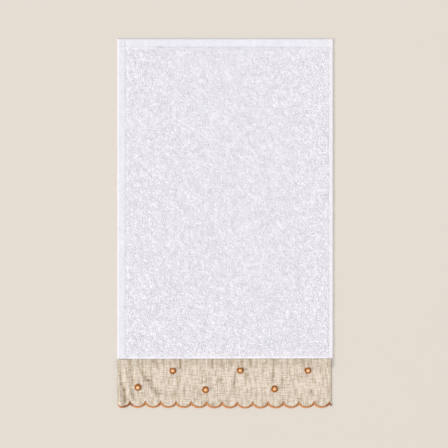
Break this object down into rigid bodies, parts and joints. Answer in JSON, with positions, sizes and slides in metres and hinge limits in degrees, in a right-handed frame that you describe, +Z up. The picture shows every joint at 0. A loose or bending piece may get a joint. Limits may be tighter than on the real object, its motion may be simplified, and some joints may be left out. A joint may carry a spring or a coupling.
{
  "type": "hand towel",
  "caption": "Small terry hand towel lying flat, with a linen end band, stitched scalloped edge and beaded rosettes.",
  "frame": {"origin": "centre of the towel's footprint, on the surface it lies on", "axes": "+Y along the towel from the linen band to the top hem, +X across it to the right seen from above, +Z up from the surface"},
  "size_m": [0.2979, 0.5098, 0.0073],
  "materials": {
    "terry_cotton": "white looped cotton pile, matt, with flat turned hems",
    "natural_linen": "undyed flax plain weave with uneven slubs",
    "orange_thread": "orange-brown satin-stitch embroidery thread with a soft sheen",
    "copper_pearl": "copper-orange pearl lustre"
  },
  "bodies": {
    "root": {"terry_panel": "terry_cotton", "linen_band": "natural_linen", "scallop_edging": "orange_thread", "rosette_1": "orange_thread", "rosette_2": "orange_thread", "rosette_3": "orange_thread", "rosette_4": "orange_thread", "rosette_5": "orange_thread", "rosette_6": "orange_thread", "bead_1": "copper_pearl", "bead_2": "copper_pearl", "bead_3": "copper_pearl", "bead_4": "copper_pearl", "bead_5": "copper_pearl", "bead_6": "copper_pearl"}
  },
  "joints": []
}
